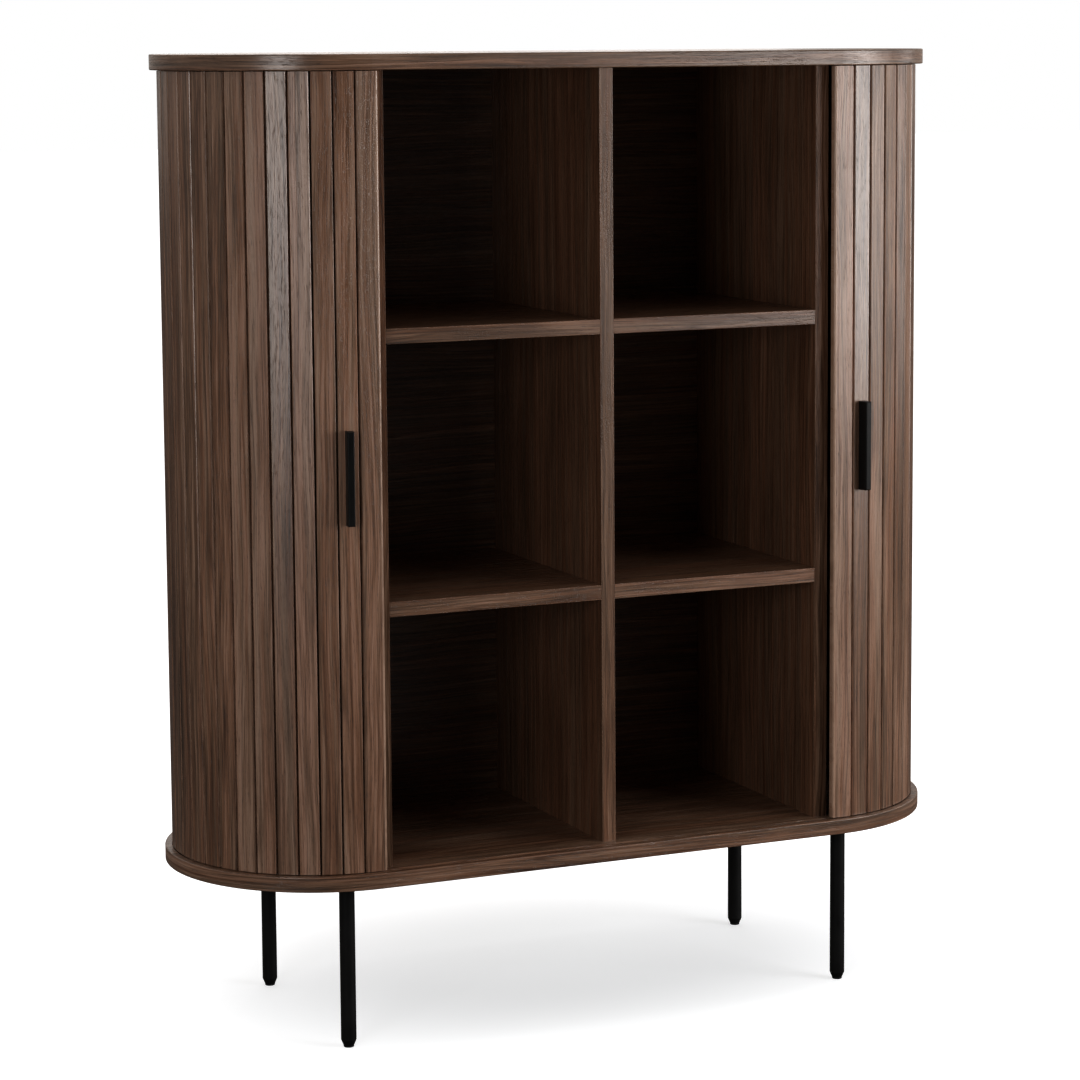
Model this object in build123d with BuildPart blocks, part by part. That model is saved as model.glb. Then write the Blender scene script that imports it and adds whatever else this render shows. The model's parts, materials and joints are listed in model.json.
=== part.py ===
"""Walnut highboard with six open cubes behind two tambour doors, on four round black legs.

Frame: +Z up, +X to the right of someone facing the front, +Y to the back. The origin is
on the floor under the middle of the cabinet. Lengths are in millimetres.

The doors are drawn fully open. A place on a door's track is a distance along it: zero
where the straight front run meets the round end, negative along the front towards the
middle, then round the end and forward along the back.
"""

import os
from math import cos, pi, sin

from build123d import *

# --- driving dimensions -------------------------------------------------------------

width = 1000.0
depth = 390.0
height = 1174.0
board_thickness = 18.5
board_edge_round = 1.5
leg_height = 201.5

panel_thickness = 18.0
panel_edge_round = 0.6
carcass_half_depth = 168.3
back_thickness = 12.0
side_panel_inner_x = 282.3
upper_shelf_top = 857.0
lower_shelf_top = 536.0

leg_diameter = 18.5
leg_x = 331.0
leg_y = 142.0
leg_taper_width = 3.0
leg_taper_height = 7.0
glide_height = 2.0
glide_spigot_diameter = 6.0
glide_spigot_length = 8.0
stud_diameter = 8.0
stud_in_leg = 20.0
stud_in_board = 12.0

dowel_diameter = 8.0
dowel_length = 30.0
dowel_end_chamfer = 1.0
dowel_in_side = 9.0
dowel_in_divider = 7.5
bore_clearance = 0.1
screw_diameter = 3.5
screw_length = 30.0
screw_head_diameter = 7.0
screw_rows = 5
screw_end_margin = 50.0

slat_pitch = 25.0
slat_gap = 1.4
slat_thickness = 8.0
slat_chamfer = 0.8
slat_end_clearance = 1.0
track_radius = 178.0
groove_inner_radius = 177.4
groove_outer_radius = 186.6
groove_depth = 6.5
tongue_width = 18.0
tongue_thickness = 5.0
tongue_length = 6.5
front_slats = 12
arc_slats = 11
tail_slats = 11
door_edge_x = {"left": 295.2, "right": 299.1}
leading_slat_extra = 2.1
leading_edge_round = 2.5

handle_slat = 2
handle_width = 8.4
handle_projection = 14.5
handle_length = 110.0
handle_edge_round = 1.5
handle_screw_spacing = 70.0
handle_screw_diameter = 4.0
handle_screw_head = 7.5
handle_screw_depth = 9.0

# --- values worked out from them ----------------------------------------------------

arc_centre_x = (width - depth) / 2
inside_bottom = leg_height + board_thickness
inside_top = height - board_thickness
inside_height = inside_top - inside_bottom
panel_depth = 2 * carcass_half_depth - back_thickness
panel_centre_y = -back_thickness / 2
side_panel_x = side_panel_inner_x + panel_thickness / 2
cube_width = side_panel_inner_x - panel_thickness / 2
cube_centre_x = (side_panel_inner_x + panel_thickness / 2) / 2
back_front_face_y = carcass_half_depth - back_thickness
pilot_depth = screw_length - back_thickness + 1
slat_bottom = inside_bottom + slat_end_clearance
slat_height = inside_height - 2 * slat_end_clearance
slat_width = slat_pitch - slat_gap
handle_centre_z = (inside_bottom + inside_top) / 2
sides = {"left": -1, "right": 1}
shelf_tops = {"upper": upper_shelf_top, "lower": lower_shelf_top}
dowel_y = (-120.0, panel_centre_y, 110.0)
shelf_dowel_y = (-110.0, 100.0)
leg_places = [(x * leg_x, y * leg_y) for x in (-1, 1) for y in (-1, 1)]
panel_x = {"left_side_panel": -side_panel_x, "centre_divider": 0.0, "right_side_panel": side_panel_x}


def save(built, name):
    """Label a finished piece and write it to its own file."""
    built.part.label = name
    export_step(built.part, f"parts/{name}.step")


def drill(plane, points, diameter, drill_depth):
    """Blind round holes going down from a plane, in the part being built."""
    with BuildSketch(plane) as marks:
        with Locations(*points):
            Circle(diameter / 2)
    extrude(marks.sketch, amount=-drill_depth, mode=Mode.SUBTRACT)


# --- top and bottom boards ------------------------------------------------------------


def track_groove(face_plane):
    """The endless groove that guides both doors, cut into a board from its inside face."""
    with BuildSketch(face_plane) as groove:
        SlotCenterToCenter(2 * arc_centre_x, 2 * groove_outer_radius)
        SlotCenterToCenter(2 * arc_centre_x, 2 * groove_inner_radius, mode=Mode.SUBTRACT)
    extrude(groove.sketch, amount=-groove_depth, mode=Mode.SUBTRACT)


def board(lower_face_z):
    """A flat board with half-round ends and softened edges."""
    with BuildSketch(Plane.XY.offset(lower_face_z)) as outline:
        SlotCenterToCenter(2 * arc_centre_x, depth)
    extrude(outline.sketch, amount=board_thickness)


def round_board_edges(built):
    """Soften the outer edges of a board, above and below."""
    rims = built.edges().filter_by(lambda e: abs(abs(e.center().Y) - depth / 2) < 0.01)
    ends = built.edges().filter_by(GeomType.CIRCLE).filter_by(lambda e: abs(e.radius - depth / 2) < 0.01)
    fillet(rims + ends, board_edge_round)


def make_boards():
    panel_dowels = [(x, y) for x in panel_x.values() for y in dowel_y]
    bore = dowel_diameter + 2 * bore_clearance
    upright = Plane.XY
    upside_down = Plane((0, 0, 0), x_dir=(1, 0, 0), z_dir=(0, 0, -1))
    flipped_dowels = [(x, -y) for x, y in panel_dowels]
    with BuildPart() as top_panel:
        board(inside_top)
        round_board_edges(top_panel)
        underside = upside_down.offset(-inside_top)
        track_groove(underside)
        drill(underside, flipped_dowels, bore, dowel_in_side + 1)
    save(top_panel, "top_panel")
    with BuildPart() as bottom_panel:
        board(leg_height)
        round_board_edges(bottom_panel)
        track_groove(upright.offset(inside_bottom))
        drill(upright.offset(inside_bottom), panel_dowels, bore, dowel_in_side + 1)
        flipped_legs = [(x, -y) for x, y in leg_places]
        stud_bore = stud_diameter + 2 * bore_clearance
        drill(upside_down.offset(-leg_height), flipped_legs, stud_bore, stud_in_board + 1)
    save(bottom_panel, "bottom_panel")


# --- uprights, shelves and back ---------------------------------------------------------


def rear_plane(y):
    """An upright plane across the cabinet, facing the back."""
    return Plane((0, y, 0), x_dir=(-1, 0, 0), z_dir=(0, 1, 0))


def back_screw_places(columns):
    """Where the back is screwed to the uprights, in plan x and height."""
    step = (inside_height - 2 * screw_end_margin) / (screw_rows - 1)
    return [(x, inside_bottom + screw_end_margin + row * step) for x in columns for row in range(screw_rows)]


def upright_panel(x, shelf_faces, shelf_dowel_depth):
    """One upright, with dowel bores in both ends and where the shelves meet its faces."""
    with BuildPart() as panel:
        with Locations((x, panel_centre_y, (inside_bottom + inside_top) / 2)):
            Box(panel_thickness, panel_depth, inside_height)
        front_edges = panel.edges().filter_by(Axis.Z).group_by(Axis.Y)[0]
        fillet(front_edges, panel_edge_round)
        bore = dowel_diameter + 2 * bore_clearance
        end_bore = dowel_length - dowel_in_side + 1
        top_plane = Plane.XY.offset(inside_top)
        bottom_plane = Plane((0, 0, inside_bottom), x_dir=(1, 0, 0), z_dir=(0, 0, -1))
        drill(top_plane, [(x, y) for y in dowel_y], bore, end_bore)
        drill(bottom_plane, [(x, -y) for y in dowel_y], bore, end_bore)
        for facing in shelf_faces:
            face = Plane((x + facing * panel_thickness / 2, 0, 0), x_dir=(0, facing, 0), z_dir=(facing, 0, 0))
            marks = [
                (facing * y, top - panel_thickness / 2) for y in shelf_dowel_y for top in shelf_tops.values()
            ]
            drill(face, marks, bore, shelf_dowel_depth + 0.5)
        screws = [(-x, z) for x, z in back_screw_places([x])]
        drill(rear_plane(back_front_face_y), screws, screw_diameter + 2 * bore_clearance, pilot_depth)
    return panel


def make_uprights():
    save(upright_panel(-side_panel_x, [1], dowel_in_side), "left_side_panel")
    save(upright_panel(side_panel_x, [-1], dowel_in_side), "right_side_panel")
    save(upright_panel(0, [-1, 1], dowel_in_divider), "centre_divider")


def make_shelf(side, level):
    """A fixed shelf between the divider and one side panel."""
    centre = (sides[side] * cube_centre_x, panel_centre_y, shelf_tops[level] - panel_thickness / 2)
    with BuildPart() as shelf:
        with Locations(centre):
            Box(cube_width, panel_depth, panel_thickness)
        front_edges = shelf.edges().filter_by(Axis.X).group_by(Axis.Y)[0]
        fillet(front_edges, panel_edge_round)
        bore = dowel_diameter + 2 * bore_clearance
        for facing in (-1, 1):
            at_divider = facing != sides[side]
            in_panel = dowel_in_divider if at_divider else dowel_in_side
            end_x = centre[0] + facing * cube_width / 2
            end = Plane((end_x, 0, centre[2]), x_dir=(0, facing, 0), z_dir=(facing, 0, 0))
            drill(end, [(facing * y, 0) for y in shelf_dowel_y], bore, dowel_length - in_panel + 1)
    save(shelf, f"{level}_{side}_shelf")


def make_back():
    half_width = side_panel_inner_x + panel_thickness
    with BuildPart() as back_panel:
        with Locations((0, carcass_half_depth - back_thickness / 2, (inside_bottom + inside_top) / 2)):
            Box(2 * half_width, back_thickness, inside_height)
        rear = rear_plane(carcass_half_depth)
        with Locations(*[rear * Location((-x, z)) for x, z in back_screw_places(panel_x.values())]):
            CounterSinkHole(screw_diameter / 2 + bore_clearance, screw_head_diameter / 2 + bore_clearance)
    save(back_panel, "back_panel")


def make_back_screws():
    """Countersunk wood screws: a shank and a cone head flush with the back."""
    head_height = (screw_head_diameter - screw_diameter) / 2
    with BuildPart() as back_screws:
        for x, z in back_screw_places(panel_x.values()):
            axis = Plane((x, carcass_half_depth, z), x_dir=(1, 0, 0), z_dir=(0, -1, 0))
            with BuildSketch(axis):
                Circle(screw_diameter / 2)
            extrude(amount=screw_length)
            with BuildSketch(axis):
                Circle(screw_head_diameter / 2)
            with BuildSketch(axis.offset(head_height)):
                Circle(screw_diameter / 2)
            loft()
    save(back_screws, "back_screws")


def make_dowels():
    """All the beech dowels: uprights into the boards, shelves into the uprights."""

    def dowel(start, direction):
        with BuildSketch(Plane(start, z_dir=direction)) as disc:
            Circle(dowel_diameter / 2)
        extrude(disc.sketch, amount=dowel_length)

    with BuildPart() as dowels:
        for x in panel_x.values():
            for y in dowel_y:
                dowel((x, y, inside_top + dowel_in_side), (0, 0, -1))
                dowel((x, y, inside_bottom - dowel_in_side), (0, 0, 1))
        for facing in sides.values():
            for top in shelf_tops.values():
                for y in shelf_dowel_y:
                    z = top - panel_thickness / 2
                    dowel((facing * (side_panel_inner_x + dowel_in_side), y, z), (-facing, 0, 0))
                    dowel((facing * (panel_thickness / 2 - dowel_in_divider), y, z), (facing, 0, 0))
        chamfer(dowels.edges().filter_by(GeomType.CIRCLE), dowel_end_chamfer)
    save(dowels, "dowels")


# --- legs -------------------------------------------------------------------------------


def make_leg(name, x, y):
    """A round steel bar, tapered at the foot, bored for its stud and for its glide."""
    with BuildPart() as leg:
        with BuildSketch(Plane.XY.offset(glide_height)) as section:
            with Locations((x, y)):
                Circle(leg_diameter / 2)
        extrude(section.sketch, amount=leg_height - glide_height)
        foot_edge = leg.edges().filter_by(GeomType.CIRCLE).sort_by(Axis.Z)[0]
        foot_face = leg.faces().sort_by(Axis.Z)[0]
        chamfer(foot_edge, leg_taper_width, leg_taper_height, reference=foot_face)
        drill(Plane.XY.offset(leg_height), [(x, y)], stud_diameter + 2 * bore_clearance, stud_in_leg + 1)
        underneath = Plane((0, 0, glide_height), x_dir=(1, 0, 0), z_dir=(0, 0, -1))
        spigot_bore = glide_spigot_diameter + 2 * bore_clearance
        drill(underneath, [(x, -y)], spigot_bore, glide_spigot_length + 1)
    save(leg, name)


def make_leg_hardware():
    with BuildPart() as leg_studs:
        with BuildSketch(Plane.XY.offset(leg_height - stud_in_leg)):
            with Locations(*leg_places):
                Circle(stud_diameter / 2)
        extrude(amount=stud_in_leg + stud_in_board)
        chamfer(leg_studs.edges().filter_by(GeomType.CIRCLE), 1)
    save(leg_studs, "leg_studs")
    with BuildPart() as leg_glides:
        with BuildSketch():
            with Locations(*leg_places):
                Circle(leg_diameter / 2 - leg_taper_width)
        extrude(amount=glide_height)
        chamfer(leg_glides.edges().filter_by(GeomType.CIRCLE).group_by(Axis.Z)[0], 0.6)
        with BuildSketch(Plane.XY.offset(glide_height)):
            with Locations(*leg_places):
                Circle(glide_spigot_diameter / 2)
        extrude(amount=glide_spigot_length)
    save(leg_glides, "leg_glides")


# --- tambour doors ------------------------------------------------------------------------


def track_frame(side, distance):
    """Origin, direction of increasing distance and outward direction at a place on the track."""
    angle = min(max(distance / track_radius, 0), pi)
    before = min(distance, 0)
    beyond = max(distance - pi * track_radius, 0)
    mirror_x = sides[side]
    along = (mirror_x * cos(angle), sin(angle))
    outward = (mirror_x * sin(angle), -cos(angle))
    x = mirror_x * (arc_centre_x + before - beyond + track_radius * sin(angle))
    return (x, -track_radius * cos(angle)), along, outward


def in_plan(frame, pairs):
    """Plan points from (along, outward) pairs about a place on the track."""
    (x, y), along, outward = frame
    return [(x + u * along[0] + w * outward[0], y + u * along[1] + w * outward[1]) for u, w in pairs]


def slat_distance(side, number):
    """Where a slat's middle lies on the track, counting slats from 1 at the door's free edge."""
    first_seam = door_edge_x[side] + leading_slat_extra + slat_pitch - arc_centre_x
    return first_seam + (number - 1.5) * slat_pitch


def prism(points, low_z, tall):
    """An upright prism on a closed outline in plan, added to the part being built."""
    with BuildSketch(Plane.XY.offset(low_z)) as section:
        with BuildLine():
            Polyline(*points, close=True)
        make_face()
    extrude(section.sketch, amount=tall)


def add_slat(frame, offset=0.0):
    """One flat slat with bevelled outer edges."""
    low = offset - slat_width / 2
    high = offset + slat_width / 2
    profile = [
        (low, 0),
        (high, 0),
        (high, slat_thickness - slat_chamfer),
        (high - slat_chamfer, slat_thickness),
        (low + slat_chamfer, slat_thickness),
        (low, slat_thickness - slat_chamfer),
    ]
    prism(in_plan(frame, profile), slat_bottom, slat_height)


def add_tongues(frame):
    """The thinned ends of a slat, which run in the grooves of both boards."""
    half = tongue_width / 2
    inner = (slat_thickness - tongue_thickness) / 2
    outer = inner + tongue_thickness
    outline = in_plan(frame, [(-half, inner), (half, inner), (half, outer), (-half, outer)])
    prism(outline, slat_bottom - tongue_length, slat_height + 2 * tongue_length)


def handle_screw_heights():
    half = handle_screw_spacing / 2
    return (handle_centre_z - half, handle_centre_z + half)


def handle_screw_planes(side):
    """Planes on the inner face of the handle's slat, pointing outward through it."""
    (x, y), along, outward = track_frame(side, slat_distance(side, handle_slat))
    return [Plane((x, y, z), x_dir=(*along, 0), z_dir=(*outward, 0)) for z in handle_screw_heights()]


def make_leading_slat(side):
    """The slat at the door's free edge: wider than the rest, and rounded along that edge."""
    breadth = leading_slat_extra + slat_pitch - slat_gap / 2
    centre_x = sides[side] * (door_edge_x[side] + breadth / 2)
    centre_y = -track_radius - slat_thickness / 2
    with BuildPart() as slat:
        with Locations((centre_x, centre_y, slat_bottom + slat_height / 2)):
            Box(breadth, slat_thickness, slat_height)
        outer_edges = slat.edges().filter_by(Axis.Z).group_by(Axis.Y)[0].sort_by(lambda e: abs(e.center().X))
        chamfer(outer_edges[-1], slat_chamfer)
        outer_edges = slat.edges().filter_by(Axis.Z).group_by(Axis.Y)[0].sort_by(lambda e: abs(e.center().X))
        fillet(outer_edges[0], leading_edge_round)
    save(slat, f"{side}_slat_01")


def make_front_slat(side, number):
    """A slat that leaves the round end for the front when the door closes."""
    frame = track_frame(side, slat_distance(side, number))
    with BuildPart() as slat:
        add_slat(frame)
        if number == handle_slat:
            head_height = (handle_screw_head - handle_screw_diameter) / 2
            for plane in handle_screw_planes(side):
                with BuildSketch(plane) as shank:
                    Circle(handle_screw_diameter / 2 + bore_clearance)
                extrude(shank.sketch, amount=slat_thickness, mode=Mode.SUBTRACT)
                with BuildSketch(plane) as mouth:
                    Circle(handle_screw_head / 2 + bore_clearance)
                with BuildSketch(plane.offset(head_height)) as throat:
                    Circle(handle_screw_diameter / 2 + bore_clearance)
                loft([mouth.sketch, throat.sketch], mode=Mode.SUBTRACT)
    save(slat, f"{side}_slat_{number:02d}")


def make_arc_slats(side):
    """The slats that stay in the round end all the way, with their tongues in the grooves."""
    with BuildPart() as slats:
        for number in range(front_slats + 1, front_slats + arc_slats + 1):
            frame = track_frame(side, slat_distance(side, number))
            add_slat(frame)
            add_tongues(frame)
    save(slats, f"{side}_arc_slats")


def make_tail_slats(side, numbers):
    """One or two slats that lie along the back when the door is open."""
    middle = sum(slat_distance(side, number) for number in numbers) / len(numbers)
    frame = track_frame(side, middle)
    with BuildPart() as slats:
        for number in numbers:
            add_slat(frame, offset=slat_distance(side, number) - middle)
    save(slats, f"{side}_tail_slats_{numbers[0]}")


def make_handle(side):
    """A slim upright bar on the second slat, bored from behind for its two screws."""
    frame = track_frame(side, slat_distance(side, handle_slat))
    half = handle_width / 2
    outer = slat_thickness + handle_projection
    outline = in_plan(frame, [(-half, slat_thickness), (half, slat_thickness), (half, outer), (-half, outer)])
    _, _, outward = frame
    with BuildPart() as handle:
        prism(outline, handle_centre_z - handle_length / 2, handle_length)
        face = handle.faces().sort_by(Axis((0, 0, 0), (*outward, 0)))[-1]
        fillet(face.edges(), handle_edge_round)
        for plane in handle_screw_planes(side):
            with BuildSketch(plane.offset(slat_thickness)) as bore:
                Circle(handle_screw_diameter / 2 + bore_clearance)
            extrude(bore.sketch, amount=handle_screw_depth + 1, mode=Mode.SUBTRACT)
    save(handle, f"{side}_handle")


def make_handle_screws(side):
    """Countersunk machine screws from the slat's inner face into the handle."""
    head_height = (handle_screw_head - handle_screw_diameter) / 2
    with BuildPart() as screws:
        for plane in handle_screw_planes(side):
            with BuildSketch(plane):
                Circle(handle_screw_diameter / 2)
            extrude(amount=slat_thickness + handle_screw_depth)
            with BuildSketch(plane):
                Circle(handle_screw_head / 2)
            with BuildSketch(plane.offset(head_height)):
                Circle(handle_screw_diameter / 2)
            loft()
    save(screws, f"{side}_handle_screws")


def make_door(side):
    make_leading_slat(side)
    for number in range(2, front_slats + 1):
        make_front_slat(side, number)
    make_arc_slats(side)
    first_tail = front_slats + arc_slats + 1
    last = front_slats + arc_slats + tail_slats
    for number in range(first_tail, last + 1, 2):
        make_tail_slats(side, [n for n in (number, number + 1) if n <= last])
    make_handle(side)
    make_handle_screws(side)


os.makedirs("parts", exist_ok=True)
make_boards()
make_uprights()
for shelf_level in shelf_tops:
    for shelf_side in sides:
        make_shelf(shelf_side, shelf_level)
make_back()
make_back_screws()
make_dowels()
make_leg("front_left_leg", -leg_x, -leg_y)
make_leg("front_right_leg", leg_x, -leg_y)
make_leg("rear_left_leg", -leg_x, leg_y)
make_leg("rear_right_leg", leg_x, leg_y)
make_leg_hardware()
for door_side in sides:
    make_door(door_side)
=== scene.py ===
"""The looks of the tambour-door highboard: walnut veneer, black metal, soft studio light.

Lengths are in metres and colours are linear. The materials read object coordinates, so they ride
with their piece when a door moves.
"""
import json
import math

import bpy
from mathutils import Matrix, Vector

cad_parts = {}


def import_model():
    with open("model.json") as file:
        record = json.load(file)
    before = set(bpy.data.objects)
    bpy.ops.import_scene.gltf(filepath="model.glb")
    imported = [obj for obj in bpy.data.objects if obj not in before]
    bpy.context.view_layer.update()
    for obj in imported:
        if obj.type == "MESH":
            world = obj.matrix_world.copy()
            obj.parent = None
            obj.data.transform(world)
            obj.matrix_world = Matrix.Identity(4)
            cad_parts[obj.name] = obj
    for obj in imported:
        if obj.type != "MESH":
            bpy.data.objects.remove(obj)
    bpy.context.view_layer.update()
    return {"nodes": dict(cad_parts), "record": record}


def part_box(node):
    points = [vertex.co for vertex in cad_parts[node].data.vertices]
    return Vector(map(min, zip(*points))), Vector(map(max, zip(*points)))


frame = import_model()

ARC_CENTRE = 0.305       # the round ends turn about x = -0.305 and x = 0.305
BOARD_RADIUS = 0.195     # the round ends of the boards
TRACK_RADIUS = 0.178     # the inner face of the slats, where their pitch is measured
SLAT_PITCH = 0.025
# where slat 1 starts, along the track from the start of the round end
FIRST_SEAM = {"left": -0.0077, "right": -0.0038}
TOP_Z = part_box("top_panel")[1].z
BOARD_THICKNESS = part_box("top_panel")[1].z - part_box("top_panel")[0].z

# walnut from dark to pale, in a warm and a cool brown
WARM_WALNUT = ((0.04, (0.043, 0.0186, 0.0096)), (0.264, (0.098, 0.0455, 0.0243)),
               (0.48, (0.166, 0.0800, 0.0445)), (0.76, (0.285, 0.1550, 0.0960)),
               (1.00, (0.410, 0.2500, 0.1800)))
COOL_WALNUT = ((0.04, (0.042, 0.0208, 0.0112)), (0.264, (0.092, 0.0505, 0.0295)),
               (0.48, (0.153, 0.0880, 0.0540)), (0.76, (0.258, 0.1610, 0.1080)),
               (1.00, (0.385, 0.2580, 0.1900)))
MINERAL_LINE = (0.035, 0.015, 0.008, 1)
PORE_DARK = (0.022, 0.010, 0.006, 1)
# painted highlight on the arrises of the boards' banding
PAINTED_BOARD_EDGE_HIGHLIGHT = (0.30, 0.185, 0.125, 1)
# painted highlight on the slats' chamfers
PAINTED_SLAT_EDGE_HIGHLIGHT = (0.44, 0.29, 0.21, 1)
WANDER = 0.026           # how far the grain wanders sideways along a piece
CONTRAST = 0.8           # of the veneer's tones, all layers together
MIDDLE = 0.5             # the middle value of a noise
LINE_STRENGTH = 0.42
PORE_STRENGTH = 0.6
WOOD_BUMP = 0.00009
WOOD_GLOSS = 0.7
METAL_GLOSS = 0.18       # low, so that the powder coat stays black
BEECH_TONES = ((0.3, (0.42, 0.24, 0.115)), (0.55, (0.58, 0.37, 0.20)), (0.75, (0.68, 0.47, 0.28)))

# the tone and the greyness of a slat's veneer
SLAT_TONES = {"dark": (0.03, -0.1), "plain": (0.11, -0.1), "light": (0.20, 0.0),
              "pale": (0.33, -0.05), "palest": (0.54, -0.1)}
# the look of each front slat, from the door's free edge round to the back
FRONT_SLATS = {
    "left": ("pale", "palest", "pale", "palest", "light", "palest",
             "palest", "pale", "plain", "light", "light", "plain"),
    # the right door's first slat is palest partly for its own veneer and partly as a painted
    # highlight, for the sheen of the lights on it
    "right": ("palest", "plain", "pale", "pale", "light", "pale",
              "plain", "plain", "dark", "plain", "light", "plain")}
SLAT_SEED = {"left": 11.0, "right": 57.0}
GREY_SEED = 300.5        # added to a slat's seed for its own greyness
OWN_TONE = 0.14          # how far slats of one look differ in tone
OWN_GREY = 0.45          # and in greyness

FLOOR_HALF = 30.0
# the painted shadow in the floor's glow: where it is centred, and how it is squeezed
SHADOW_CENTRE = (0.04, 0.11)
SHADOW_STRETCH = (0.95, 1.25)    # the shadow is an oval, wider than deep
FLOOR_SEEN = (0.575, 0.60, 0.632, 1)
LIGHT_COLOUR = (1.0, 0.98, 0.965)
DIM_SKY = (1.0, 0.94, 0.88, 1)
WHITE = (1, 1, 1, 1)
AIM = Vector((0, 0, 0.75))       # what the lights point at
# azimuth to the right of straight in front and elevation in degrees, distance, width, height, and
# the radiance its face would show
SOFTBOXES = {
    "key": (50, 4, 3.0, 0.80, 1.0, 11.0),
    "key_near_side": (36, 4, 3.0, 0.75, 1.0, 8.0),
    "key_far_side": (65, 4, 3.0, 0.80, 1.0, 3.6),
    "side_right": (92, 4, 3.0, 0.90, 1.0, 2.2),
    "fill_left": (-47, 4, 3.0, 0.95, 1.0, 6.8),
    "overhead": (0, 88, 2.4, 1.30, 0.9, 3.0),
    "back": (160, 20, 3.2, 1.50, 1.2, 1.4)}

EYE = (-1.6550, -3.7166, 1.1953)
YAW_PITCH_ROLL = (-24.369, 6.901, -0.341)
SENSOR_WIDTH = 36.0              # millimetres, as is the lens
LENS = 109.713
SHIFT = (-0.02883, -0.1)
VIEW_GAMMA = 0.85                # below 1, for deeper darks


# ---------------------------------------------------------------- node helpers

class Net:
    """Adds nodes to one tree, joining them as they are made."""

    def __init__(self, tree):
        self.tree = tree

    def add(self, kind, ins=None, **settings):
        """A node whose inputs are linked to a socket, or set to a plain value."""
        node = self.tree.nodes.new("ShaderNode" + kind)
        for name, value in settings.items():
            setattr(node, name, value)
        for key, value in (ins or {}).items():
            socket = node.inputs[key]
            if isinstance(value, bpy.types.NodeSocket):
                self.tree.links.new(value, socket)
            else:
                socket.default_value = value
        return node

    def math(self, operation, *values, clamp=False):
        ins = dict(enumerate(values))
        return self.add("Math", ins, operation=operation, use_clamp=clamp).outputs[0]

    def offset(self, value, middle):
        """How far a value is above its middle."""
        return self.math("SUBTRACT", value, middle)

    def vector(self, x, y, z):
        return self.add("CombineXYZ", {0: x, 1: y, 2: z}).outputs[0]

    def split(self, vector):
        return self.add("SeparateXYZ", {0: vector}).outputs

    def coordinates(self, kind="Object"):
        return self.add("TexCoord").outputs[kind]

    def scaled(self, vector, *factors):
        """A vector whose three parts are each multiplied by their own factor."""
        parts = self.split(vector)
        return self.vector(*(self.math("MULTIPLY", parts[i], factors[i]) for i in range(3)))

    def noise(self, vector, detail, roughness=0.5, scale=1.0):
        ins = {"Vector": vector, "Scale": scale, "Detail": detail, "Roughness": roughness}
        return self.add("TexNoise", ins).outputs[0]

    def own_value(self, seed):
        """A steady random number from 0 to 1 for each seed."""
        return self.add("TexWhiteNoise", {"W": seed}, noise_dimensions="1D").outputs[0]

    def remap(self, value, low, high, to_low=0.0, to_high=1.0, smooth=True):
        return self.add("MapRange", {0: value, 1: low, 2: high, 3: to_low, 4: to_high},
                        interpolation_type="SMOOTHSTEP" if smooth else "LINEAR").outputs[0]

    def mix(self, factor, a, b):
        """A colour between a and b."""
        return self.add("Mix", {0: factor, 6: a, 7: b}, data_type="RGBA").outputs[2]

    def blend(self, factor, a, b):
        """A number between a and b."""
        return self.add("Mix", {0: factor, 2: a, 3: b}, data_type="FLOAT").outputs[0]

    def ramp(self, value, stops):
        node = self.add("ValToRGB", {0: value})
        elements = node.color_ramp.elements
        while len(elements) < len(stops):
            elements.new(0.5)
        for element, (place, colour) in zip(elements, stops):
            element.position = place
            element.color = (*colour, 1)
        return node.outputs[0]


def new_material(name):
    material = bpy.data.materials.new(name)
    material.use_nodes = True
    material.node_tree.nodes.clear()
    return material, Net(material.node_tree)


def finish_material(net, colour, roughness, height, bump_depth, **uniform):
    """The surface shader; the uniform values are set on its own sockets."""
    bump = net.add("Bump", {"Strength": 1.0, "Distance": bump_depth, "Height": height})
    shader = net.add("BsdfPrincipled", {"Base Color": colour, "Roughness": roughness,
                                        "Normal": bump.outputs[0]})
    for name, value in uniform.items():
        shader.inputs[name.replace("_", " ")].default_value = value
    net.add("OutputMaterial", {0: shader.outputs[0]})


# ---------------------------------------------------------------- walnut

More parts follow.
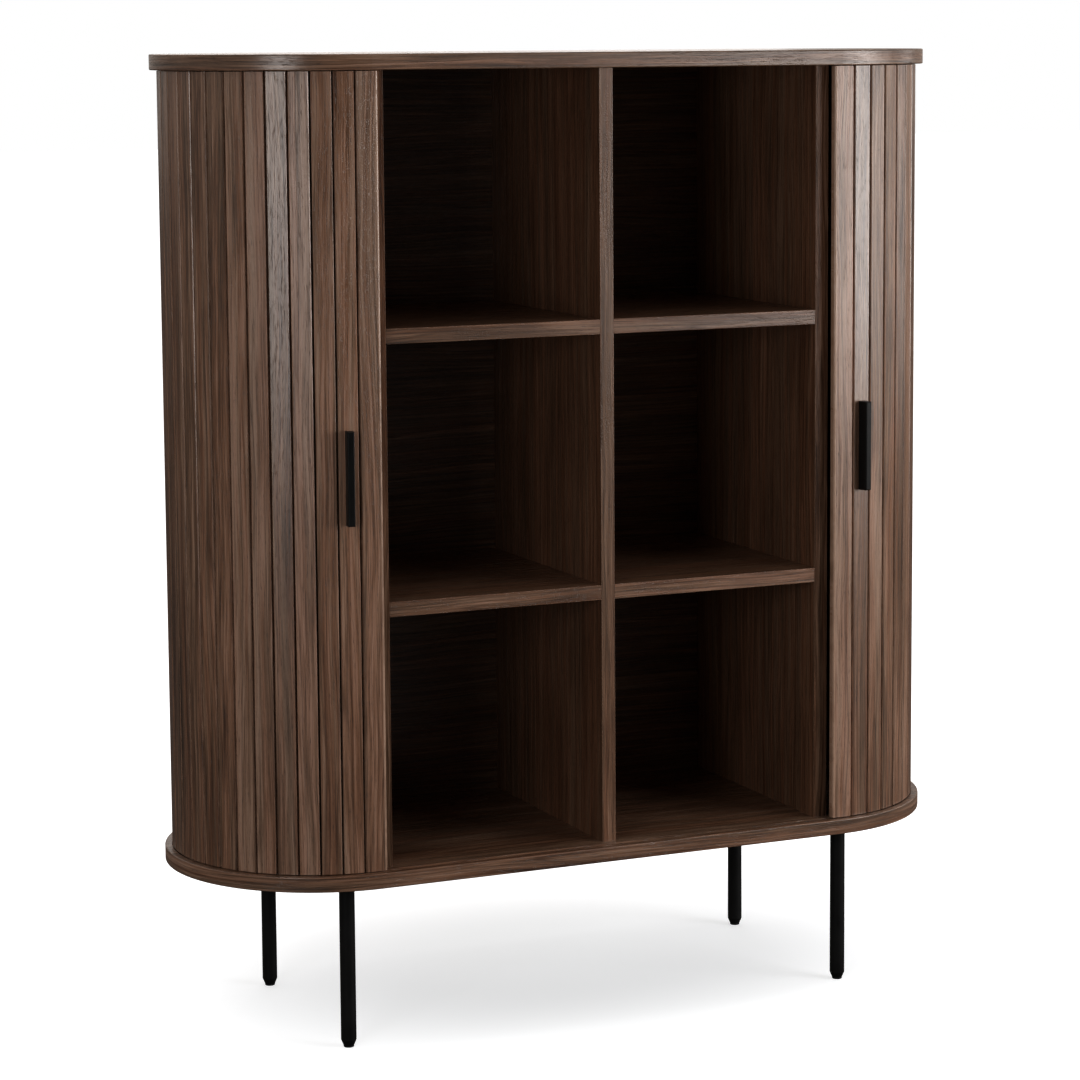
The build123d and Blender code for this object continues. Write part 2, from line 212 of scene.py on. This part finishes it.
def walnut_group():
    """Walnut veneer at a vector: x across the grain, y which leaf of veneer, z along the grain."""
    tree = bpy.data.node_groups.new("walnut_veneer", "ShaderNodeTree")
    for name, way, kind in (("Vector", "INPUT", "Vector"), ("Tone", "INPUT", "Float"),
                            ("Grey", "INPUT", "Float"), ("Figure", "INPUT", "Float"),
                            ("Color", "OUTPUT", "Color"), ("Roughness", "OUTPUT", "Float"),
                            ("Height", "OUTPUT", "Float")):
        tree.interface.new_socket(name, in_out=way, socket_type="NodeSocket" + kind)
    net = Net(tree)
    given = tree.nodes.new("NodeGroupInput")
    across, leaf, along = net.split(given.outputs["Vector"])

    def layer(per_across, per_along, shift, detail=2.0, roughness=0.55, source=None):
        """Noise with so many spots per metre; the shift keeps the layers from lining up."""
        vector = net.vector(net.math("MULTIPLY", source or across, per_across),
                            net.math("ADD", leaf, shift),
                            net.math("MULTIPLY", along, per_along))
        return net.noise(vector, detail, roughness)

    wander = net.math("MULTIPLY", net.offset(layer(9, 2.4, 0.3), MIDDLE), WANDER)
    bent = net.math("ADD", across, wander)
    broad = layer(26, 1.3, 2.1, source=bent)
    patch = layer(11, 5.5, 23.9, 1.5, 0.5)
    band = layer(95, 3.0, 4.7, source=bent)
    streak = layer(330, 4.5, 7.9, 2.5, 0.6, bent)
    fibre = layer(900, 17, 11.3, 3.0, 0.65, bent)
    pore = layer(1900, 110, 15.1, 1.0, 0.5, bent)
    vein = layer(48, 0.9, 19.7, 1.5, 0.5, bent)
    tint = layer(120, 1.5, 27.3, 1.5, 0.5, bent)

    value = net.math("MULTIPLY", net.offset(broad, MIDDLE), 0.60)
    for part, weight in ((patch, 0.55), (band, 0.80), (streak, 1.65), (fibre, 1.8)):
        value = net.math("MULTIPLY_ADD", net.offset(part, MIDDLE), weight, value)
    value = net.math("MULTIPLY", value, given.outputs["Figure"])
    value = net.math("ADD", net.math("ADD", value, MIDDLE), given.outputs["Tone"])
    value = net.math("MULTIPLY", value, CONTRAST)
    hue = net.math("ADD", net.remap(tint, 0.35, 0.65), given.outputs["Grey"], clamp=True)
    colour = net.mix(hue, net.ramp(value, WARM_WALNUT), net.ramp(value, COOL_WALNUT))
    # narrow dark mineral lines, and the short dark ticks of the open pores
    line = net.remap(net.math("ABSOLUTE", net.offset(vein, 0.53)), 0.0, 0.014, 1.0, 0.0)
    colour = net.mix(net.math("MULTIPLY", line, LINE_STRENGTH), colour, MINERAL_LINE)
    tick = net.math("MULTIPLY", net.remap(pore, 0.58, 0.68), net.remap(fibre, 0.60, 0.40))
    colour = net.mix(net.math("MULTIPLY", tick, PORE_STRENGTH), colour, PORE_DARK)

    # fibres are smoother than the pores, and the pores are sunk
    roughness = net.remap(fibre, 0.3, 0.7, 0.34, 0.24, smooth=False)
    roughness = net.math("MULTIPLY_ADD", tick, 0.15, roughness)
    height = net.math("MULTIPLY_ADD", tick, -0.8, net.math("MULTIPLY_ADD", streak, 0.5, fibre))
    result = tree.nodes.new("NodeGroupOutput")
    for name, socket in (("Color", colour), ("Roughness", roughness), ("Height", height)):
        tree.links.new(socket, result.inputs[name])
    return tree


VENEER = walnut_group()


def veneer(net, across, leaf, along, tone, grey, figure=1.0):
    """The colour, roughness and height of the veneer; figure is the strength of its grain."""
    group = net.add("Group", {"Vector": net.vector(across, leaf, along), "Tone": tone,
                              "Grey": grey, "Figure": figure}, node_tree=VENEER)
    return group.outputs["Color"], group.outputs["Roughness"], group.outputs["Height"]


def track_path(net, x, y, radius):
    """The distance along the front, the round end and the back, from the start of the round end."""
    past = net.offset(net.math("ABSOLUTE", x), ARC_CENTRE)
    turn = net.math("ARCTAN2", net.math("MAXIMUM", past, 0.0), net.math("MULTIPLY", y, -1.0))
    straight = net.math("MULTIPLY", net.math("MINIMUM", past, 0.0),
                        net.math("MULTIPLY", net.math("SIGN", y), -1.0))
    return net.math("MULTIPLY_ADD", turn, radius, straight)


def patchy_highlight(net, scale, low, high):
    """How strong a painted edge highlight is: it comes and goes along the edge."""
    return net.remap(net.noise(net.coordinates(), 3.0, scale=scale), 0.35, 0.65, low, high)


def board_material():
    """Top and bottom boards: grain along x on the faces, and along the banding on the edge."""
    material, net = new_material("walnut_board")
    x, y, z = net.split(net.coordinates())
    upward = net.math("ABSOLUTE", net.split(net.coordinates("Normal"))[2])
    edge = net.math("LESS_THAN", upward, 0.5)
    path = net.math("ADD", track_path(net, x, y, BOARD_RADIUS), ARC_CENTRE)
    path = net.math("MULTIPLY", path, net.math("SIGN", x))
    across = net.blend(edge, y, z)
    along = net.blend(edge, x, path)
    # the banding is another leaf than the faces, and each board has its own
    leaf = net.math("MULTIPLY_ADD", edge, 3.3, net.math("MULTIPLY", z, 5.0))
    colour, roughness, height = veneer(net, across, leaf, along, tone=0.15, grey=0.1)
    # painted highlight: the corners of the banding are painted paler, where their arrises catch the
    # light
    level = net.math("DIVIDE", net.math("SUBTRACT", TOP_Z, z), BOARD_THICKNESS)
    level = net.math("ABSOLUTE", net.offset(net.math("FRACT", level), 0.5))
    painted_arris_highlight = net.math("MULTIPLY", net.remap(level, 0.44, 0.49), edge)
    painted_arris_highlight = net.math("MULTIPLY", painted_arris_highlight, patchy_highlight(net, 60, 0.1, 0.45))
    colour = net.mix(painted_arris_highlight, colour, PAINTED_BOARD_EDGE_HIGHLIGHT)
    finish_material(net, colour, roughness, height, WOOD_BUMP, Specular_IOR_Level=WOOD_GLOSS)
    return material


def panel_material(name, grain, tone, grey=0.0, edge_tone=0.0, gloss=WOOD_GLOSS):
    """Uprights have their grain along z; shelves and the back along x. Front edges are banded."""
    material, net = new_material(name)
    x, y, z = net.split(net.coordinates())
    normal = net.split(net.coordinates("Normal"))
    if grain == "upright":
        across, along = net.math("ADD", x, y), z
        leaf = net.math("MULTIPLY", normal[0], 1.7)
    else:
        across, along = net.math("ADD", z, y), x
        leaf = net.math("MULTIPLY", normal[2], 1.1)
    if grain == "shelf":
        # another leaf for the shelves of each column
        leaf = net.math("MULTIPLY_ADD", net.math("SIGN", x), 2.9, leaf)
    front = net.math("LESS_THAN", normal[1], -0.5)
    tone = net.math("MULTIPLY_ADD", front, edge_tone, tone)
    # calm grain on the wide faces, a stronger one on the banding
    figure = net.math("MULTIPLY_ADD", front, 0.35, 0.55)
    colour, roughness, height = veneer(net, across, leaf, along, tone, grey, figure)
    finish_material(net, colour, roughness, height, WOOD_BUMP, Specular_IOR_Level=gloss)
    return material


def slat_material(name, side, tone, grey):
    """Upright grain, a leaf of veneer for each slat, with painted highlights along the slats'
    edges.
    """
    material, net = new_material(name)
    x, y, z = net.split(net.coordinates())
    path = track_path(net, x, y, TRACK_RADIUS)
    count = net.math("DIVIDE", net.math("SUBTRACT", path, FIRST_SEAM[side]), SLAT_PITCH)
    number = net.math("MAXIMUM", net.math("FLOOR", count), 0.0)
    # the slat's number seeds its own tone, greyness and leaf of veneer
    seed = net.math("ADD", number, SLAT_SEED[side])
    own_tone = net.offset(net.own_value(seed), MIDDLE)
    own_grey = net.offset(net.own_value(net.math("ADD", seed, GREY_SEED)), MIDDLE)
    leaf = net.math("MULTIPLY", seed, 3.17)
    slat_tone = net.math("MULTIPLY_ADD", own_tone, OWN_TONE, tone)
    slat_grey = net.math("MULTIPLY_ADD", own_grey, OWN_GREY, grey)
    colour, roughness, height = veneer(net, path, leaf, z, slat_tone, slat_grey)
    # painted highlights on the slats' chamfers, where they catch the light: stronger on the edge
    # towards the door's free side, which faces the front and the lights, than on the other
    part = net.offset(net.math("SUBTRACT", count, number), 0.5)
    free_side_highlight = net.math("MULTIPLY", net.remap(part, -0.438, -0.455), patchy_highlight(net, 45, 0.5, 1.0))
    far_side_highlight = net.math("MULTIPLY", net.remap(part, 0.438, 0.455), patchy_highlight(net, 45, 0.1, 0.45))
    colour = net.mix(net.math("ADD", free_side_highlight, far_side_highlight), colour, PAINTED_SLAT_EDGE_HIGHLIGHT)
    finish_material(net, colour, roughness, height, WOOD_BUMP, Specular_IOR_Level=WOOD_GLOSS)
    return material


# ---------------------------------------------------------------- the other materials

def black_metal(name, base, rough_low, rough_high, grain, bump_depth):
    """Powder coat: a fine orange-peel skin, dust-grey patches and a few pale specks."""
    material, net = new_material(name)
    where = net.coordinates()
    peel = net.noise(where, 2.0, 0.5, grain)
    patch = net.noise(where, 3.0, 0.6, 28)
    dusty = base * 1.9
    colour = net.mix(net.remap(patch, 0.35, 0.7, 0.0, 0.5), (base, base, base, 1),
                     (dusty, dusty, dusty, 1))
    speck = net.remap(net.noise(where, 1.0, 0.5, grain * 2.3), 0.66, 0.74)
    colour = net.mix(net.math("MULTIPLY", speck, 0.25), colour, (0.06, 0.06, 0.06, 1))
    roughness = net.remap(patch, 0.3, 0.7, rough_low, rough_high)
    finish_material(net, colour, roughness, peel, bump_depth, Specular_IOR_Level=METAL_GLOSS)
    return material


def moulded_plastic():
    """The dark glides: a fine moulded skin with paler scuffs."""
    material, net = new_material("glide")
    where = net.coordinates()
    skin = net.noise(where, 2.0, 0.5, 1400)
    scuff = net.remap(net.noise(where, 4.0, 0.7, 160), 0.5, 0.7)
    colour = net.mix(net.math("MULTIPLY", scuff, 0.6), (0.014, 0.014, 0.015, 1),
                     (0.045, 0.043, 0.041, 1))
    finish_material(net, colour, net.remap(scuff, 0, 1, 0.45, 0.7), skin, 0.00008)
    return material


def plated_steel():
    """Studs and screws: turned lines across z, and faint yellow stains."""
    material, net = new_material("plated_steel")
    where = net.coordinates()
    spin = net.noise(net.scaled(where, 900, 900, 5200), 2.0)
    stain = net.noise(where, 4.0, 0.6, 240)
    colour = net.mix(net.remap(stain, 0.4, 0.65), (0.56, 0.57, 0.56, 1), (0.42, 0.40, 0.34, 1))
    roughness = net.remap(spin, 0.3, 0.7, 0.24, 0.42)
    finish_material(net, colour, roughness, spin, 0.00003, Metallic=1.0)
    return material


def beech():
    """The dowels: fine pale grain with the short dark flecks of beech."""
    material, net = new_material("beech")
    where = net.coordinates()
    grain = net.noise(net.scaled(where, 1600, 1600, 60), 3.0, 0.6)
    fleck = net.noise(net.scaled(where, 700, 2500, 300), 1.0)
    colour = net.ramp(grain, BEECH_TONES)
    colour = net.mix(net.math("MULTIPLY", net.remap(fleck, 0.62, 0.7), 0.5), colour,
                     (0.33, 0.17, 0.08, 1))
    finish_material(net, colour, net.remap(grain, 0.3, 0.7, 0.7, 0.55), grain, 0.0001)
    return material


# ---------------------------------------------------------------- materials on the CAD nodes

def give(node, material):
    """Makes it the only material of a CAD node."""
    mesh = frame["nodes"][node].data
    mesh.materials.clear()
    mesh.materials.append(material)


divider_wood = panel_material("walnut_panel_divider", "upright", 0.03, edge_tone=0.12, gloss=0.5)
# the side panels' banding has a lower edge tone than the divider's, a painted shade for the shadow
# the doors cast on it, and less sheen
shaded_side_wood = panel_material("walnut_panel_side_shaded", "upright", 0.03, edge_tone=0.06, gloss=0.15)
shelf_wood = panel_material("walnut_panel_shelf", "shelf", 0.20, -0.1, edge_tone=-0.02, gloss=0.5)
back_wood = panel_material("walnut_panel_back", "back", -0.06)
panel_looks = {"left_side_panel": shaded_side_wood, "right_side_panel": shaded_side_wood,
               "centre_divider": divider_wood, "back_panel": back_wood}
slot_looks = {"walnut_board": board_material(),
              "black_leg": black_metal("black_leg", 0.007, 0.42, 0.60, 1500, 0.00010),
              "black_handle": black_metal("black_handle", 0.005, 0.40, 0.54, 2200, 0.00006),
              "glide": moulded_plastic(), "plated_steel": plated_steel(), "beech": beech()}
slat_looks = {(side, look): slat_material(f"walnut_slat_{side}_{look}", side, *values)
              for side in FRONT_SLATS for look, values in SLAT_TONES.items()}

slots = {part["node"]: part["material_slot"] for part in frame["record"]["subparts"]}
for node, slot in slots.items():
    if slot == "walnut_panel":
        give(node, panel_looks.get(node, shelf_wood))
    elif slot == "walnut_slat":
        side, rest = node.split("_", 1)
        look = FRONT_SLATS[side][int(rest[-2:]) - 1] if rest.startswith("slat") else "plain"
        give(node, slat_looks[side, look])
    else:
        give(node, slot_looks[slot])


# ---------------------------------------------------------------- floor, light and camera

def floor():
    """A wide pale floor that the camera sees as white, with a soft grey painted shadow under the
    object.
    """
    mesh = bpy.data.meshes.new("floor")
    corners = [(x * FLOOR_HALF, y * FLOOR_HALF, 0) for x, y in ((-1, -1), (1, -1), (1, 1), (-1, 1))]
    mesh.from_pydata(corners, [], [(0, 1, 2, 3)])
    plane = bpy.data.objects.new("floor", mesh)
    bpy.context.scene.collection.objects.link(plane)
    material, net = new_material("studio_floor")
    where = net.coordinates()
    speckle = net.noise(where, 3.0, 0.6, 9.0)
    place = net.split(where)
    oval = net.vector(*(net.math("MULTIPLY", net.offset(place[i], SHADOW_CENTRE[i]),
                                 SHADOW_STRETCH[i]) for i in range(2)), 0.0)
    away = net.add("VectorMath", {0: oval}, operation="LENGTH").outputs["Value"]
    # painted shadow: the floor's glow is grey under the object and white from well outside it; the
    # diffuse floor under it adds the real cast shadows
    glow_with_painted_shadow = net.remap(away, 0.18, 0.80, 0.55, 1.03)
    # what the object gets from the floor is kept low, so that the open cubes stay dark inside
    pale = net.mix(speckle, (0.13, 0.13, 0.13, 1), (0.15, 0.15, 0.15, 1))
    bounce = net.add("BsdfDiffuse", {"Color": pale})
    seen = net.add("BsdfDiffuse", {"Color": FLOOR_SEEN})
    glow = net.add("Emission", {"Color": WHITE, "Strength": glow_with_painted_shadow})
    lit = net.add("AddShader", {0: seen.outputs[0], 1: glow.outputs[0]})
    camera_ray = net.add("LightPath").outputs["Is Camera Ray"]
    mixed = net.add("MixShader", {0: camera_ray, 1: bounce.outputs[0], 2: lit.outputs[0]})
    net.add("OutputMaterial", {0: mixed.outputs[0]})
    mesh.materials.append(material)


def world(white, dim, front):
    """White to the camera, and dim as a light: dimmest in front, so the cubes stay dark inside."""
    sky = bpy.data.worlds.new("studio")
    bpy.context.scene.world = sky
    sky.use_nodes = True
    sky.node_tree.nodes.clear()
    net = Net(sky.node_tree)
    way = net.split(net.coordinates("Generated"))
    glow = net.remap(net.math("MULTIPLY", way[1], -1.0), 0.15, 0.75, dim, front)
    seen = net.add("LightPath").outputs["Is Camera Ray"]
    level = net.blend(seen, glow, white)
    colour = net.mix(seen, DIM_SKY, WHITE)
    shade = net.add("Background", {"Color": colour, "Strength": level})
    net.add("OutputWorld", {0: shade.outputs[0]})


def softbox(name, azimuth, elevation, distance, width, height, radiance):
    """A rectangular light that the camera doesn't see."""
    turn, rise = math.radians(azimuth), math.radians(elevation)
    way = Vector((math.sin(turn) * math.cos(rise), -math.cos(turn) * math.cos(rise),
                  math.sin(rise)))
    light = bpy.data.lights.new(name, "AREA")
    light.shape = "RECTANGLE"
    light.size, light.size_y = width, height
    light.energy = radiance * math.pi * width * height
    light.color = LIGHT_COLOUR
    lamp = bpy.data.objects.new(name, light)
    lamp.location = AIM + way * distance
    lamp.rotation_euler = (-way).to_track_quat("-Z", "Y").to_euler()
    lamp.visible_camera = False
    bpy.context.scene.collection.objects.link(lamp)


def camera():
    """The photo's viewpoint."""
    lens = bpy.data.cameras.new("camera")
    lens.sensor_width = SENSOR_WIDTH
    lens.lens = LENS
    lens.shift_x, lens.shift_y = SHIFT
    eye = bpy.data.objects.new("camera", lens)
    yaw, pitch, roll = (math.radians(angle) for angle in YAW_PITCH_ROLL)
    eye.matrix_world = (Matrix.Translation(EYE) @ Matrix.Rotation(yaw, 4, "Z")
                        @ Matrix.Rotation(math.pi / 2 - pitch, 4, "X")
                        @ Matrix.Rotation(roll, 4, "Z"))
    bpy.context.scene.collection.objects.link(eye)
    bpy.context.scene.camera = eye


floor()
world(white=1.0, dim=0.6, front=0.03)
for name, values in SOFTBOXES.items():
    softbox(name, *values)
camera()
scene = bpy.context.scene
scene.view_settings.view_transform = "Standard"
scene.view_settings.look = "None"
scene.view_settings.gamma = VIEW_GAMMA
